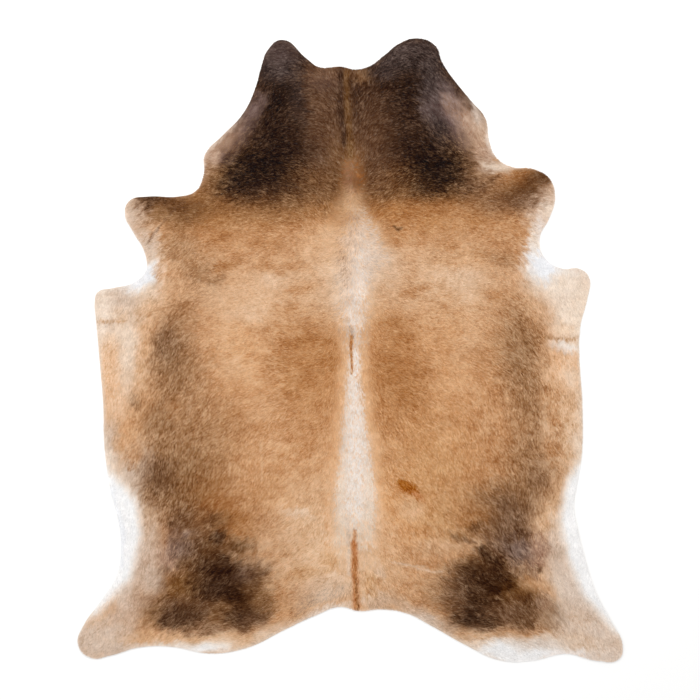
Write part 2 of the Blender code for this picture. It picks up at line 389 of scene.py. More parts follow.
    ("umber", 38, -46.5, -61, 4, 3), ("umber", 70, -68.5, -82, 1.2, 1.8, 20),
    ("umber", 60, -66.5, -78.5, 2, 0.8, 40),
    # right hip
    ("plum", 85, 60, -71, 9, 5), ("tawny", 60, 68, -74, 4, 7),
    ("umber", 80, 50, -74, 5, 5), ("brown", 70, 41, -78, 7, 4, 10),
    ("umber", 85, 52, -83, 10, 7), ("umber", 80, 48, -93.5, 12, 6, 0, 60),
    ("walnut", 70, 38.5, -88, 5, 9), ("russet", 90, 60, -87, 7, 4.5, 0, 70),
    ("walnut", 75, 60, -94, 12, 5, 0, 70), ("espresso", 85, 48.5, -83, 7.5, 5.5, 0, 90),
    ("espresso", 70, 49.5, -74, 2, 4.5, 40, 90), ("chocolate", 65, 44.5, -94, 4.5, 5.5, 0, 90),
    ("chocolate", 75, 43, -98.5, 7, 3), ("umber", 60, 62.5, -96, 3.5, 3),
    ("umber", 60, 65, -90, 3, 3), ("blush", 60, 70, -91.5, 2.5, 4),
    ("brown", 80, 73, -95.5, 5.5, 4, 0, 70), ("walnut", 55, 63, -79, 4, 2),
    ("fawn", 60, 65.5, -83.5, 4, 2.5, -20), ("sand", 80, 72, -82, 3, 5, 10),
    ("umber", 70, 69, -78, 1.2, 1.2), ("umber", 70, 56.5, -68.5, 1.5, 1.3),
    ("umber", 50, 59, -64, 3, 0.7, -15), ("umber", 50, 62.2, -65.5, 1.4, 1.2),
    ("sand", 60, 46, -68.5, 3, 1.2, 20), ("sand", 40, 38.5, -70, 4, 2, -20),
    ("brown", 70, 38, -66.5, 1.5, 1), ("walnut", 60, 42.5, -67.5, 1.5, 1),
    # hind legs
    ("biscuit", 70, -72, -66, 4, 9, 0, 70), ("clay", 90, -72, -79, 5.5, 10, -10, 70),
    ("biscuit", 60, -71, -82, 3, 5, -10), ("clay", 85, -79, -90, 7, 6, 40, 70),
    ("tan", 50, -74, -100, 5, 5), ("clay", 90, -89, -104, 12, 8, 30, 70),
    ("blush", 40, -85, -95, 2.5, 2), ("biscuit", 85, -90, -104, 10, 7, 10, 70),
    ("clay", 60, -79, -95, 3, 5), ("biscuit", 70, 81, -88, 5, 8, 30),
    ("brown", 85, 74.5, -96.5, 4, 2.5), ("biscuit", 80, 73, -103, 6, 2.5),
    ("sand", 85, 71, -61, 5, 9), ("oat", 80, 75, -70, 3.5, 10),
    ("tawny", 50, 69, -70, 3, 4), ("biscuit", 80, 77, -82, 4, 10, 15, 70),
    ("cream", 50, 76, -87, 1.5, 4, 5), ("biscuit", 90, 86, -102, 14, 10, -40, 70),
    ("biscuit", 80, 82, -94, 6, 6, 20), ("oat", 70, 88, -102, 9, 6, -40),
    ("oat", 80, 93, -109, 8, 4), ("fawn", 20, 82, -97, 5, 3, -30),
    ("sand", 85, -52, -103.5, 26, 2.6), ("walnut", 55, -50, -100, 7, 2),
    ("walnut", 70, -34.5, -97.5, 5, 2.5, 10), ("sand", 90, 58, -105, 26, 3.2, 0, 70),
    ("cream", 60, 60, -107, 22, 2.2), ("walnut", 60, 46.5, -100.5, 4, 1.8),
    ("cream", 80, -55, -106.5, 15, 2, 3), ("white", 90, -54, -108, 10, 1.8, 3),
    ("white", 95, 60, -109.5, 17, 4.5, -2, 45), ("pearl", 80, 79, -110, 8, 2.2, -5),
    ("biscuit", 45, -10, -86, 10, 5, 20), ("ash", 25, -10, -89, 9, 2.5, 25),
    ("biscuit", 50, 10, -90, 8, 3), ("biscuit", 40, 11, -79, 2, 2),
    ("biscuit", 85, 27, -96.5, 9, 2.2, -32), ("bone", 75, -8, -93.5, 10, 1.4, 17),
    ("bone", 85, -66, -106.5, 10, 2), ("bone", 90, 67, -105, 12, 2.4),
    ("oat", 70, -80, -107.5, 6, 2), ("oat", 75, -78.5, -82, 3, 12, -20),
    ("oat", 70, 80, -84, 3, 9, 20), ("pearl", 60, 68, 44, 2, 4, 10),
    ("sand", 60, -74, -12, 3, 5), ("oat", 50, -87, 10, 4, 4),
    ("sand", 60, 21, -57, 4, 3), ("fawn", 45, -63, -20, 3, 4),
    ("oat", 60, -76, -72, 2, 5), ("cream", 50, -28, -101, 8, 2, 30),
]

# Bands of hair along the spine: colour, width of the soft edge, strength, then rows of height, left
# edge and right edge
spineBands = [
    ("honey", 4, 60, [(8, -3.5, 5.5), (0, -3.5, 5.5), (-16, -4.5, 7.2), (-30, -5.5, 9.5),
                      (-40, -7, 10.5), (-55, -9, 12), (-80, -9, 13)]),
    ("caramel", 4, 40, [(72, -1, 2), (60, -3, 5), (50, -5, 6)]),
    ("tawny", 2.5, 40, [(69, -0.8, 0.8), (60, -1.4, 1.4), (50, -2, 2)]),
    ("sand", 6, 50, [(62, -1, 1), (56, -3, 3), (50, -5, 6), (40, -10, 12), (25, -8, 12), (14, -4, 8),
                     (5, -2, 5.5), (-2, -1, 4.5)]),
    ("oat", 8, 75, [(55, 0, 2), (50, 1, 4), (43, -2, 8), (33.5, -3, 13), (27, -4.5, 8.5),
                    (20, -4.5, 6), (12, -3.2, 5.2), (6.3, -2, 4.5), (0, -1.4, 4.2), (-8, -1.2, 4.2)]),
    ("amber", 4, 10, [(60, -3, 2), (45, -5, 3), (30, -4, 2), (12, -1, 1)]),
    ("pearl", 4, 25, [(40, 1, 6), (30, 0.5, 6), (20, -1, 5), (10, -0.5, 3.8), (2, -0.2, 3.6),
                      (-6, -0.2, 3.6)]),
    ("bone", 3.5, 80, [(5, -0.6, 3), (-7, -1.2, 2.6), (-16, -1.6, 3.8), (-22, -2, 5.2), (-40, -4, 7.6),
                       (-53, -5, 9), (-73, -4, 8)]),
    ("cream", 5, 45, [(-40, -4.5, 8), (-55, -6, 10), (-80, -5, 9)]),
    ("pearl", 3, 35, [(3, 0.3, 3), (-22, -0.4, 4.5), (-40, -1.2, 5), (-53, -1.5, 5), (-70, -1, 4)]),
]

# Lines in the coat: colour, half width, softness, strength, points from end to end
coatStrokes = [
    ("cream", 7.5, 40, 55, [(-95, -34), (-90, -42), (-85, -53), (-83, -63), (-85, -78), (-95, -90)]),
    ("white", 7, 35, 95, [(-95, -45), (-89, -50), (-83.5, -56), (-82, -65), (-85, -78), (-95, -88)]),
    ("cream", 7.5, 40, 55, [(90, -38), (85, -46), (82, -60), (86, -74), (92, -86), (100, -96)]),
    ("white", 7, 35, 95, [(90, -42), (85, -48), (82.5, -60), (85, -72), (89.5, -84), (100, -96)]),
    # painted shade, bluish grey, down the left flank's white strip
    ("rim", 1.4, 90, 70, [(-86, -50), (-82.5, -65), (-83, -77)]),
    ("sienna", 0.6, 100, 60, [(1.8, -64.5), (1.7, -70)]),
    ("sienna", 1, 100, 95, [(1.7, -69), (1.8, -80), (2.1, -92)]),
    ("amber", 0.6, 100, 50, [(1.9, -75), (2, -86), (2.6, -93.5)]),
    ("umber", 0.4, 100, 30, [(2, -82), (2.6, -93.5)]),
    ("oat", 0.6, 90, 50, [(-0.6, -60), (-0.4, -70), (-0.2, -80)]),
    ("walnut", 0.9, 100, 20, [(0.4, 8.5), (0.2, 4.5)]),
    ("rust", 0.45, 100, 75, [(-0.1, 5.5), (0.1, 0), (0.4, -4), (0.6, -7.5)]),
    ("bronze", 1.2, 100, 75, [(-1.2, 100), (-0.5, 85), (0.4, 70)]),
    ("chocolate", 0.8, 100, 80, [(-3.4, 101.5), (-3.2, 93), (-2.6, 82), (-2, 74)]),
    # painted shade in the left foreleg's crease
    ("walnut", 0.35, 100, 55, [(-59.5, 54.5), (-65.5, 47), (-70, 41.8), (-72.5, 38.5)]),
    # painted shade in the right belly's crease
    ("ochre", 0.5, 100, 38, [(69, 5.2), (75, 4.8), (83, 5.3)]),
    ("brown", 0.3, 100, 40, [(70, 5), (75, 4.8)]),
    # painted shade in the left belly's crease
    ("ochre", 0.5, 100, 40, [(-91, 11.2), (-86, 10.6), (-81, 11.2)]),
    ("umber", 0.4, 100, 80, [(15.5, 44.5), (16.8, 43.2), (18.2, 43.8)]),
    ("cream", 0.4, 100, 50, [(15, -75.5), (20, -77), (26, -77.5)]),
    ("cream", 0.4, 100, 45, [(24, -78.5), (32, -79.2)]),
    ("sand", 0.4, 100, 55, [(-32, -33), (-31.3, -40), (-31.8, -46)]),
    ("sand", 0.4, 100, 50, [(-43, -39.5), (-43.5, -45)]),
]


def fromCentre(x, y, centreX, centreY, turn):
    # how far points lie from a centre, along and across a turned shape
    c, s = math.cos(math.radians(turn)), math.sin(math.radians(turn))
    return (x - centreX) * c + (y - centreY) * s, (y - centreY) * c - (x - centreX) * s


def ellipse(x, y, centreX, centreY, halfWidth, halfHeight, turn=0, soft=80):
    # 1 inside one row's ellipse, 0 outside it, and soft between
    along, across = fromCentre(x, y, centreX / 100, centreY / 100, turn)
    away = np.hypot(along / (halfWidth / 100), across / (halfHeight / 100))
    return softStep((1 + soft / 100 - away) / (2 * soft / 100))


# Longer, fluffier hair: x, y, half width, half height, softness, how fluffy it is, and how much
# more the colour of its locks varies
fluffPlaces = [
    (-66, -25, 18, 45, 80, 70, 70),
    (66, -25, 18, 45, 80, 70, 70),
    (-48, -78, 28, 26, 70, 100, 10),
    (50, -78, 28, 28, 70, 100, 10),
    (0, 85, 55, 40, 50, 0, 50),
    (1, 40, 10, 26, 70, 0, 40),
    (10, -78, 40, 26, 70, 20, 50),
]


def fluffiness(x, y, column=0):
    # column 0 is how fluffy the hair is, and 1 how much more its colour varies
    fluff = np.zeros(len(x))
    for *place, soft, amount, variety in fluffPlaces:
        most = (amount, variety)[column] / 100
        fluff = np.maximum(fluff, most * ellipse(x, y, *place, soft=soft))
    return fluff


def lineDistance(x, y, points):
    # how far each point lies from the line through the given ones
    nearest = np.full(len(x), np.inf)
    for (x0, y0), (x1, y1) in zip(points, points[1:]):
        dx, dy = x1 - x0, y1 - y0
        along = np.clip(((x - x0) * dx + (y - y0) * dy) / (dx * dx + dy * dy), 0, 1)
        nearest = np.minimum(nearest, np.hypot(x - x0 - along * dx, y - y0 - along * dy))
    return nearest


# How far a colour comes as single hairs among others, where it is half strong
mixing = {"usual": 0.35, "mauve": 0.9, "blush": 0.8, "plum": 0.8, "tawny": 0.8, "ash": 1.2,
          "slate": 0.7, "russet": 0.7, "rust": 0.8, "white": 0.1, "rim": 0.1, "sienna": 0.1}


def layOver(colour, name, cover, grain):
    # where a patch is half strong, some locks take its colour and some don't
    cover = np.clip(cover + grain * cover * (1 - cover), 0, 1)[:, None]
    return colour + (hexParts(coatColours[name]) - colour) * cover


# How the coat's colour varies from lock to lock and place to place, with sizes in metres
painting = {
    "ground": "tan",
    "lock": (0.0026, 0.007, 1),      # width, length and noise layer of its streaks
    "tuft": (0.009, 0.018, 2),
    # clumps of fluffy hair: painted highlights on the clumps and painted shade in the crevices between
    # them
    "clump": (0.017, 0.020, 13),
    "clouds": [(0.7, 0.075, 10), (0.75, 0.038, 3), (0.8, 0.019, 4)],   # scale of x, size, layer
    "cloudWeight": 0.5,
    # painted highlight along the partings where the hair opens
    "veins": [(1, 0.048, 11), (0.35, 0.017, 12)],   # share, size, layer
    "veinWidth": 0.13,
    "veinHighlight": 0.8,
    "carried": (0.005, 0.010),       # how far locks and tufts carry a patch's colour
    "wander": [(0.012, 0.10, 5), (0.008, 0.035, 8)],   # how far edges stray, over what size, layer
    "bandWander": 0.4,               # part of that straying that spine bands and lines take
    "lineWander": 0.3,
    "bandGrain": 1.8,                # how much locks break up bands and lines
    "lineGrain": 2,
    "bandEnds": (0.16, 0.06),        # how softly a band ends, at the tail and at the head
    # painted highlight along the cut edge, where the hair turns over it
    "edgeWidth": 0.016,
    "edgeHighlight": 0.55,
    # the clump weight sets the painted highlight and shade on the fluffy clumps
    "pigment": {"lock": 0.15, "tuft": 0.04, "hair": 0.13, "cloud": 0.19, "clump": 0.14},
    "leastPigment": -0.42,
    "mostPigment": 0.9,
}


def paintCoat(x, y, luck, edge):
    # the colour of each point from its place, its own luck and how far it is from the cut edge
    way = hairWay(x, y)
    lock, tuft, clump = [streaks(x, y, way, *painting[kind]) for kind in ("lock", "tuft", "clump")]
    # painted highlights and painted shade of the clumps, only where the hair is fluffy
    clump = clump * fluffiness(x, y)
    cloud = sum(painting["cloudWeight"] * smoothNoise(x * scale, y, size, layer)
                for scale, size, layer in painting["clouds"])
    # pale veins run through the clouds, where the hair opens a little: a painted highlight along these
    # partings
    vein = sum(share * smoothNoise(x, y, size, layer) for share, size, layer in painting["veins"])
    cloud = cloud - painting["veinHighlight"] * softStep(1 - np.abs(vein) / painting["veinWidth"])
    grain = lock + 0.5 * luck
    # patches are read a little way up the hair, so their edges are ragged along it
    byLock, byTuft = painting["carried"]
    back = byLock * lock + byTuft * tuft
    u = x - back * way[0]
    v = y - back * way[1]
    for far, size, layer in painting["wander"]:
        u = u + far * smoothNoise(x, y, size, layer)
        v = v + far * smoothNoise(x, y, size, layer + 1)
    colour = np.tile(hexParts(coatColours[painting["ground"]]), (len(x), 1))
    for name, strength, *place in coatPatches:
        # softness is never over 100, so a patch ends within twice its half width or height
        reach = 2 * max(place[2:4]) / 100
        near = np.flatnonzero((np.abs(u - place[0] / 100) < reach)
                              & (np.abs(v - place[1] / 100) < reach))
        cover = ellipse(u[near], v[near], *place) * (strength / 100)
        mixed = mixing.get(name, mixing["usual"]) * grain[near]
        colour[near] = layOver(colour[near], name, cover, mixed)
    tailEnd, headEnd = painting["bandEnds"]
    for name, soft, strength, rows in spineBands:
        heights, lefts, rights = np.array(rows[::-1]).T / 100
        soft = soft / 100
        across = painting["bandWander"] * u + (1 - painting["bandWander"]) * x
        cover = softStep((across - np.interp(y, heights, lefts)) / soft + 0.5)
        cover = cover * softStep((np.interp(y, heights, rights) - across) / soft + 0.5)
        end = y + 0.02 * tuft + 1.5 * (v - y)
        cover = cover * softStep((end - heights[0]) / tailEnd) * softStep((heights[-1] - y) / headEnd)
        colour = layOver(colour, name, cover * (strength / 100), painting["bandGrain"] * grain)
    part = painting["lineWander"]
    for name, width, soft, strength, points in coatStrokes:
        away = lineDistance(part * u + (1 - part) * x, part * v + (1 - part) * y,
                            np.array(points) / 100) / (width / 100)
        cover = softStep((1 + soft / 100 - away) / (2 * soft / 100)) * (strength / 100)
        mixed = painting["lineGrain"] * mixing.get(name, mixing["usual"]) * grain
        colour = layOver(colour, name, cover, mixed)
    # along the cut edge the coat is painted paler: a painted highlight where the hair turns over the
    # edge, and the thin pale fringe there, but not where it is darkest or whitest
    light = colour.mean(axis=1)
    cover = painting["edgeHighlight"] * softStep(1 - edge / painting["edgeWidth"])
    cover = cover * np.clip((light - 0.25) / 0.3, 0, 1) * np.clip((0.86 - light) / 0.1, 0, 1)
    colour = layOver(colour, "bone", cover, 0.5 * grain)
    # more or less pigment, which white hair hardly shows; in a pale coat the dark hairs stand out
    # more than the pale ones do
    light = colour.mean(axis=1)
    weight = painting["pigment"]
    pigment = (weight["lock"] * lock + weight["tuft"] * tuft) * (1 + fluffiness(x, y, 1))
    pigment = pigment + weight["hair"] * luck
    # the clump term paints highlights on the fluffy clumps and shade in the crevices between them
    pigment = pigment + (weight["cloud"] * cloud + weight["clump"] * clump) * (0.5 + 0.6 * light)
    pigment = pigment * (1 - 0.6 * softStep((light - 0.78) / 0.14))
    pigment = np.clip(pigment, painting["leastPigment"], painting["mostPigment"])
    pigment = pigment + np.clip(3 * (light - 0.3), 0, 0.9) * pigment ** 2 - 0.02
    # light that passes from hair to hair comes out redder, so each hair is a little less red
    colour = np.clip(colour, 0.02, 1) ** ((1 + 0.9 * pigment)[:, None] * [1, 0.98, 0.96])
    return np.clip(colour * (1 - 0.1 * pigment)[:, None], 0, 1)


# Hide: chrome-tanned skin with the hair left on, laid flat, a few low folds at the cheeks and legs
hide = {
    "thickness": 0.0025,
    "grid": 0.0145,      # spacing of the sheet's points
    "rimGap": 0.6,       # least space between the outline and those points, as a part of the grid
    "merge": 1e-5,       # CAD points nearer than this are one
    "closest": 1e-7,     # and so are the sheet's
    "swell": 0.0005,     # the whole skin is a little uneven, over this many metres
    "swellSize": 0.16,
    "folds": [
        # x, y, half length, half width, turn in degrees, height
        (-0.40, 0.66, 0.07, 0.014, 38, 0.0030),
        (0.34, 0.755, 0.07, 0.012, -35, 0.0035),
        (0.43, 0.70, 0.04, 0.012, 20, 0.0020),
        (-0.67, 0.44, 0.06, 0.012, 50, 0.0040),
        (-0.86, 0.115, 0.07, 0.010, 4, 0.0025),
        (0.78, 0.065, 0.08, 0.010, 2, 0.0035),
        (-0.86, -1.02, 0.10, 0.060, 35, 0.0030),
        (0.88, -1.04, 0.10, 0.060, -30, 0.0030),
    ],
    "smoothUnder": 40,   # degrees between faces
}


def readOutline():
    # the CAD hide's own outline, walked round as one loop at the top of its side wall
    solid = bmesh.new()
    solid.from_mesh(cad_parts["cowhide"].data)
    bmesh.ops.remove_doubles(solid, verts=solid.verts, dist=hide["merge"])
    upright = 0.1  # most that a side wall's normal points up or down
    wall = [v for v in solid.verts if any(abs(f.normal.z) < upright for f in v.link_faces)]
    wallTop = max(v.co.z for v in wall)
    onLoop = {v for v in wall if abs(v.co.z - wallTop) < hide["merge"]}
    loop = [next(iter(onLoop))]
    before = None
    while True:
        onward = [e.other_vert(loop[-1]) for e in loop[-1].link_edges]
        onward = [v for v in onward if v in onLoop and v is not before]
        before = loop[-1]
        if onward[0] is loop[0]:
            break
        loop.append(onward[0])
    points = np.array([v.co.to_2d() for v in loop])
    solid.free()
    after = np.roll(points, -1, 0)
    turnsLeft = (points[:, 0] * after[:, 1] - points[:, 1] * after[:, 0]).sum() > 0
    return points if turnsLeft else points[::-1]


def edgeDistance(x, y):
    return lineDistance(x, y, np.vstack([outline, outline[:1]]))


def isInside(x, y):
    inside = np.zeros(len(x), bool)
    for (x0, y0), (x1, y1) in zip(outline, np.roll(outline, -1, 0)):
        if y0 != y1:
            crosses = (y0 > y) != (y1 > y)
            inside ^= crosses & (x < (x1 - x0) * (y - y0) / (y1 - y0) + x0)
    return inside


def hideLift(x, y):
    lift = hide["swell"] * (1 + smoothNoise(x, y, hide["swellSize"], 7))
    for centreX, centreY, halfLength, halfWidth, turn, height in hide["folds"]:
        along, across = fromCentre(x, y, centreX, centreY, turn)
        lift = lift + height * np.exp(-(along / halfLength) ** 2 - (across / halfWidth) ** 2)
    return lift


outline = readOutline()
grid = hide["grid"]
rowGap = 0.866 * grid  # rows of even triangles
gridX, gridY = np.meshgrid(np.arange(outline[:, 0].min(), outline[:, 0].max(), grid),
                           np.arange(outline[:, 1].min(), outline[:, 1].max(), rowGap))
gridX[1::2] += grid / 2
gridX, gridY = gridX.ravel(), gridY.ravel()
kept = isInside(gridX, gridY) & (edgeDistance(gridX, gridY) > hide["rimGap"] * grid)
sheetPoints = np.vstack([outline, np.column_stack([gridX[kept], gridY[kept]])])
rimCount = len(outline)
rim = [(i, (i + 1) % rimCount) for i in range(rimCount)]
flatPoints, _, flatFaces, *_ = delaunay_2d_cdt([Vector(p) for p in sheetPoints], rim, [], 1,
                                               hide["closest"])
sheetX, sheetY = np.array(flatPoints).T
sheetFaces = np.array(flatFaces)
sheetZ = hideLift(sheetX, sheetY)
sheetTop = np.column_stack([sheetX, sheetY, sheetZ + hide["thickness"]])
print("hide sheet:", len(sheetX), "points,", len(sheetFaces), "triangles a side")


def addAttribute(mesh, name, kind, values):
    values = np.asarray(values, np.float32)
    attribute = mesh.attributes.new(name, kind, "POINT")
    field = {"FLOAT": "value", "FLOAT_VECTOR": "vector", "FLOAT_COLOR": "color"}[kind]
    attribute.data.foreach_set(field, values.ravel())


def addTopMap(mesh):
    # a map seen from above, from 0 to 1 across the piece
    points = np.empty(len(mesh.vertices) * 3, np.float32)
    mesh.vertices.foreach_get("co", points)
    points = points.reshape(-1, 3)[:, :2]
    low, high = points.min(0), points.max(0)
    corners = np.empty(len(mesh.loops), np.int32)
    mesh.loops.foreach_get("vertex_index", corners)
    layer = mesh.uv_layers.new(name="OFBake")
    layer.data.foreach_set("uv", ((points - low) / (high - low))[corners].ravel())


def opaque(colours, gloss=0):
    # the gloss adds a little light to every colour, so it comes off the pigment first, and even
    # black hair keeps a little
    return np.column_stack([np.maximum(toLinear(colours) - gloss, 0.0008), np.ones(len(colours))])


# Cowhide, chrome tanned: the grain side shows a little between the hairs. It takes the coat's colour
# with painted shade, the shade that falls between the hairs, deepest in pores half a millimetre
# across, drawn a little coarser so that they show
skinSide, add, shader = newMaterial("grain_side_skin")
place = add("ShaderNodeTexCoord").outputs["Object"]
coatColour = add("ShaderNodeAttribute", attribute_name="coat")
pores = add("ShaderNodeTexVoronoi", {"Vector": place, "Scale": 900.0})
# painted shade between the hairs: the coat's colour darkened, most in the pores
shade = add("ShaderNodeMapRange", {"Value": pores, "To Min": 0.72, "To Max": 0.98})
shadedBetweenHairs = add("ShaderNodeHueSaturation", {"Color": coatColour, "Value": shade})
pitted = add("ShaderNodeBump", {"Height": pores, "Strength": 0.5, "Distance": 0.0003})
fillInputs(shader, {"Base Color": shadedBetweenHairs, "Roughness": 0.7, "Normal": pitted})

# Flesh side, buffed to a suede: dull nap of fibres about 2 mm long, brushed into clouds a hand
# wide, on the pale warm grey that chrome tan leaves
fleshSide, add, shader = newMaterial("buffed_suede_flesh")
place = add("ShaderNodeTexCoord").outputs["Object"]
clouds = add("ShaderNodeTexNoise",
             {"Vector": place, "Scale": 8.0, "Detail": 4.0, "Distortion": 0.8})
nap = add("ShaderNodeTexNoise", {"Vector": place, "Scale": 450.0, "Detail": 3.0})
both = add("ShaderNodeMath", {0: nap, 1: 0.5, 2: clouds}, operation="MULTIPLY_ADD")
suede = add("ShaderNodeValToRGB", {"Fac": both})
for stop, at, colour in zip(suede.color_ramp.elements, (0.45, 1.0), ("#A99C8C", "#D2C9BC")):
    stop.position = at
    stop.color = (*toLinear(colour), 1)
fibres = add("ShaderNodeBump", {"Height": nap, "Strength": 0.6, "Distance": 0.0006})
fillInputs(shader, {"Base Color": suede, "Roughness": 0.95, "Sheen Weight": 0.2, "Normal": fibres})

# Cut edge, left raw: pale fibrous core between a darker grain and flesh layer
cutEdge, add, shader = newMaterial("cut_leather_edge")
place = add("ShaderNodeTexCoord").outputs["Object"]
drawn = add("ShaderNodeMapping", {"Vector": place, "Scale": (1, 1, 5)})
fibre = add("ShaderNodeTexNoise", {"Vector": drawn, "Scale": 500.0, "Detail": 2.0})
core = add("ShaderNodeValToRGB", {"Fac": fibre})
for stop, at, colour in zip(core.color_ramp.elements, (0.3, 0.7), ("#A8937A", "#DDD0BC")):
    stop.position = at
    stop.color = (*toLinear(colour), 1)
frayed = add("ShaderNodeBump", {"Height": fibre, "Strength": 0.4, "Distance": 0.0003})
fillInputs(shader, {"Base Color": core, "Roughness": 0.85, "Normal": frayed})


def makeHide():
    count = len(sheetX)
    bottom = np.column_stack([sheetX, sheetY, sheetZ])
    faces = [tuple(f) for f in sheetFaces]
    faces += [(c + count, b + count, a + count) for a, b, c in sheetFaces]
    faces += [(i, i + count, j + count, j) for i, j in rim]
    mesh = bpy.data.meshes.new("hide")
    mesh.from_pydata(np.vstack([sheetTop, bottom]).tolist(), [], faces)
    finish = np.zeros(len(faces), np.int32)
    finish[len(sheetFaces):2 * len(sheetFaces)] = 1
    finish[2 * len(sheetFaces):] = 2
    for material in (skinSide, fleshSide, cutEdge):
        mesh.materials.append(material)
    mesh.polygons.foreach_set("material_index", finish)
    skin = paintCoat(sheetX, sheetY, 0, edgeDistance(sheetX, sheetY))
    addAttribute(mesh, "coat", "FLOAT_COLOR", opaque(np.vstack([skin, skin])))
    mesh.shade_smooth()
    mesh.set_sharp_from_angle(angle=math.radians(hide["smoothUnder"]))
    return addObject("hide", mesh)


hidePiece = makeHide()
print("hide made")

# Coat: short hair in narrow locks, combed flat from the spine outwards and towards the tail. The
# names are those of the hair tree's inputs, and sizes are in metres
coat = {
    "Density": 280000.0,   # locks for a square metre
    "Length": 0.0110,
    "Width": 0.0022,
    "Lay": 8.0,            # degrees up from the skin
    "Stray": 0.26,         # how far single locks turn aside
    "Clumps": 26.0,        # waves of hair that turn together, for a metre
    "Past edge": 0.004,    # how far hair may hang over the cut edge
}
hairGloss = 0.005  # light the gloss adds, as a part of white
firstSeed = 11     # of the five coat pieces

# Cow hair: solid fibre with a smooth skin of scales, so a soft narrow gloss; dull dark roots and
# tips a little paler from wear and light. A lock holds about a dozen hairs, drawn as fine lines
cowHair, add, shader = newMaterial("combed_cow_hair")
place = add("ShaderNodeTexCoord").outputs["Object"]
coatColour = add("ShaderNodeAttribute", attribute_name="coat")
upTheHair = add("ShaderNodeAttribute", attribute_name="along").outputs["Fac"]
acrossTheLock = add("ShaderNodeAttribute", attribute_name="across").outputs["Fac"]
hairs = add("ShaderNodeTexNoise",
            {"Vector": place, "W": acrossTheLock, "Scale": 60.0, "Detail": 1.0},
            noise_dimensions="4D")
shade = add("ShaderNodeMapRange", {"Value": upTheHair, "To Min": 0.86, "To Max": 1.14})
fine = add("ShaderNodeMapRange", {"Value": hairs, "From Min": 0.25, "From Max": 0.75,
                                  "To Min": 0.90, "To Max": 1.10})
lit = add("ShaderNodeMath", {0: shade, 1: fine}, operation="MULTIPLY")
tinted = add("ShaderNodeHueSaturation", {"Color": coatColour, "Value": lit})
# handled places are a little smoother; patches about a hand wide
handled = add("ShaderNodeTexNoise", {"Vector": place, "Scale": 9.0, "Detail": 2.0})
gloss = add("ShaderNodeMapRange", {"Value": handled, "From Min": 0.3, "From Max": 0.7,
                                   "To Min": 0.48, "To Max": 0.64})
ridges = add("ShaderNodeBump", {"Height": hairs, "Strength": 0.35, "Distance": 0.0002})
fillInputs(shader, {"Base Color": tinted, "Roughness": gloss, "Specular IOR Level": 0.05,
                    "Normal": ridges})


def makeLock():
    # one lock of hair, 1 long and 1 wide, a single pointed face: there are close to a million
    mesh = bpy.data.meshes.new("lock")
    mesh.from_pydata([(0, -0.3, -0.02), (1, 0, 0), (0.35, 0.7, 0.02)], [], [(0, 1, 2)])
    addAttribute(mesh, "along", "FLOAT", [0, 1, 0.4])
    addAttribute(mesh, "across", "FLOAT", [0, 0.05, 0.1])
    return addObject("lock", mesh)


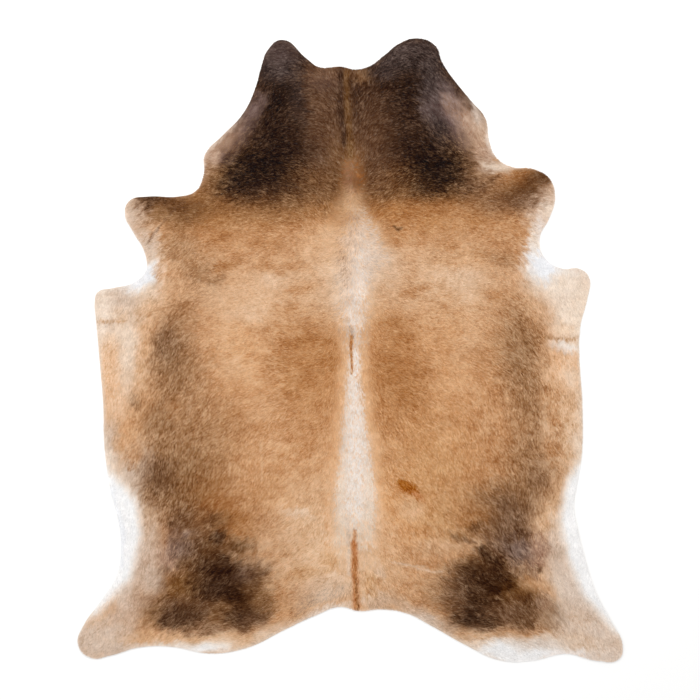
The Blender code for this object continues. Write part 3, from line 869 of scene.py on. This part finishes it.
def makeHairTree(lock):
    tree = bpy.data.node_groups.new("combed_hair", "GeometryNodeTree")
    sockets = tree.interface
    kinds = {"Geometry": "Geometry", "Seed": "Int", "Finish": "Material"}
    for name in ("Geometry", *coat, "Seed", "Finish"):
        sockets.new_socket(name, in_out="INPUT", socket_type="NodeSocket" + kinds.get(name, "Float"))
    sockets.new_socket("Geometry", in_out="OUTPUT", socket_type="NodeSocketGeometry")
    add = partial(addNode, tree)
    given = add("NodeGroupInput").outputs
    maths, vectors = "ShaderNodeMath", "ShaderNodeVectorMath"
    random = "FunctionNodeRandomValue"
    roots = add("GeometryNodeDistributePointsOnFaces",
                {"Mesh": given["Geometry"], "Density": given["Density"], "Seed": given["Seed"]},
                distribute_method="RANDOM")
    place = add("GeometryNodeInputPosition")
    kept = add("GeometryNodeStoreNamedAttribute", {"Geometry": roots, "Name": "root", "Value": place},
               data_type="FLOAT_VECTOR", domain="POINT")
    combed, fluff, edge = [
        add("GeometryNodeInputNamedAttribute", {"Name": name}, data_type=kind).outputs["Attribute"]
        for name, kind in (("way", "FLOAT_VECTOR"), ("fluff", "FLOAT"), ("edge", "FLOAT"))]
    # each lock's own length, width and lift, then how far it strays, then how it rolls
    luck = add(random, {0: (0.7, 0.6, 0.35), 1: (1.25, 1.25, 1.5), "Seed": 1},
               data_type="FLOAT_VECTOR")
    longer, wider, higher = add("ShaderNodeSeparateXYZ", {0: luck}).outputs
    aside = add(random, {0: (-1, -1, 0), 1: (1, 1, 0), "Seed": 2}, data_type="FLOAT_VECTOR")
    roll = add(random, {0: (-0.45, -0.45, 1), 1: (0.45, 0.45, 1), "Seed": 3},
               data_type="FLOAT_VECTOR")
    # neighbours turn aside together in clumps, more so where the hair is fluffy
    clumps = add("ShaderNodeTexNoise", {"Vector": place, "Scale": given["Clumps"], "Detail": 1.0})
    clump = add(vectors, {0: clumps.outputs["Color"], 1: (0.5, 0.5, 0.5)}, operation="SUBTRACT")
    turning = add(maths, {0: fluff, 1: 1.5, 2: 0.35}, operation="MULTIPLY_ADD")
    turned = add(vectors, {0: clump, "Scale": turning}, operation="SCALE")
    strayed = add(vectors, {0: aside, "Scale": given["Stray"]}, operation="SCALE")
    moved = add(vectors, {0: turned, 1: strayed}, operation="ADD")
    way = add(vectors, {0: combed, 1: moved}, operation="ADD")
    level = add(vectors, {0: way, 1: (1, 1, 0)}, operation="MULTIPLY")
    level = add(vectors, {0: level}, operation="NORMALIZE")
    # a lock stands up by its lay and its luck, and about twice as much where it is fluffy
    lay = add(maths, {0: given["Lay"]}, operation="RADIANS")
    lay = add(maths, {0: lay, 1: higher}, operation="MULTIPLY")
    lifting = add(maths, {0: fluff, 1: 1.1, 2: 1.0}, operation="MULTIPLY_ADD")
    lift = add(maths, {0: lay, 1: lifting}, operation="MULTIPLY")
    up = add("ShaderNodeCombineXYZ", {2: lift})
    rise = add(vectors, {0: level, 1: up}, operation="ADD")
    turn = add("FunctionNodeAxesToRotation", {"Primary Axis": rise, "Secondary Axis": roll},
               primary_axis="X", secondary_axis="Z")
    # fluffy hair is a third longer, and no lock reaches past the edge by more than it may
    length = add(maths, {0: given["Length"], 1: longer}, operation="MULTIPLY")
    growing = add(maths, {0: fluff, 1: 0.35, 2: 1.0}, operation="MULTIPLY_ADD")
    length = add(maths, {0: length, 1: growing}, operation="MULTIPLY")
    room = add(maths, {0: edge, 1: given["Past edge"]}, operation="ADD")
    length = add(maths, {0: length, 1: room}, operation="MINIMUM")
    width = add(maths, {0: given["Width"], 1: wider}, operation="MULTIPLY")
    size = add("ShaderNodeCombineXYZ", {0: length, 1: width, 2: length})
    shape = add("GeometryNodeObjectInfo", {"Object": lock})
    grown = add("GeometryNodeInstanceOnPoints", {"Points": kept, "Rotation": turn, "Scale": size,
                                                 "Instance": shape.outputs["Geometry"]})
    realised = add("GeometryNodeRealizeInstances", {"Geometry": grown})
    finished = add("GeometryNodeSetMaterial", {"Geometry": realised, "Material": given["Finish"]})
    add("NodeGroupOutput", {"Geometry": finished})
    return tree


def setInput(modifier, name, value):
    for item in modifier.node_group.interface.items_tree:
        if item.item_type == "SOCKET" and item.in_out == "INPUT" and item.name == name:
            modifier[item.identifier] = value


lock = makeLock()
hairTree = makeHairTree(lock)
wayX, wayY = hairWay(sheetX, sheetY)
sheetWay = np.column_stack([wayX, wayY, np.zeros(len(wayX))])
sheetEdge = edgeDistance(sheetX, sheetY)
sheetFluff = fluffiness(sheetX, sheetY)


def growCoat(name, faces, seed):
    mesh = bpy.data.meshes.new(name + "_skin")
    mesh.from_pydata(sheetTop.tolist(), [], [tuple(f) for f in faces])
    addAttribute(mesh, "way", "FLOAT_VECTOR", sheetWay)
    addAttribute(mesh, "edge", "FLOAT", sheetEdge)
    addAttribute(mesh, "fluff", "FLOAT", sheetFluff)
    skin = addObject(name + "_skin", mesh)
    modifier = skin.modifiers.new("combed hair", "NODES")
    modifier.node_group = hairTree
    for key, value in {**coat, "Seed": seed, "Finish": cowHair}.items():
        setInput(modifier, key, value)
    graph = bpy.context.evaluated_depsgraph_get()
    hair = bpy.data.meshes.new_from_object(skin.evaluated_get(graph))
    hair.name = name
    bpy.data.objects.remove(skin)
    piece = addObject(name, hair)
    # a lock is three points in a row, which share one root, one colour and one luck
    roots = np.empty(len(hair.vertices) * 3, np.float32)
    hair.attributes["root"].data.foreach_get("vector", roots)
    roots = roots.reshape(-1, 3)[::3].astype(float)
    edge = np.empty(len(hair.vertices), np.float32)
    hair.attributes["edge"].data.foreach_get("value", edge)
    luck = np.random.default_rng(seed).normal(0, 1, len(roots))
    colours = paintCoat(roots[:, 0], roots[:, 1], luck, edge[::3])
    for used in ("root", "way", "edge", "fluff"):
        hair.attributes.remove(hair.attributes[used])
    addAttribute(hair, "coat", "FLOAT_COLOR", opaque(np.repeat(colours, 3, axis=0), hairGloss))
    addTopMap(hair)
    print(name, len(hair.polygons), "triangles")
    return piece


# The coat is five pieces, split across at the neck and the rump and down the middle.
# The coat is five pieces, so that each stays under 200,000 triangles
middleX, middleY = sheetX[sheetFaces].mean(1), sheetY[sheetFaces].mean(1)
isNeck = middleY > 0.42
isRump = middleY < -0.30
isLeft = middleX < 0
coatParts = {
    "coat_neck": isNeck,
    "coat_left_side": ~isNeck & ~isRump & isLeft,
    "coat_right_side": ~isNeck & ~isRump & ~isLeft,
    "coat_left_rump": isRump & isLeft,
    "coat_right_rump": isRump & ~isLeft,
}
coatPieces = [growCoat(name, sheetFaces[part], firstSeed + i)
              for i, (name, part) in enumerate(coatParts.items())]
bpy.data.objects.remove(lock)
print("coat grown")

addTopMap(hidePiece.data)
for piece in [hidePiece, *coatPieces]:
    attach(piece, "root")
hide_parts("cowhide")
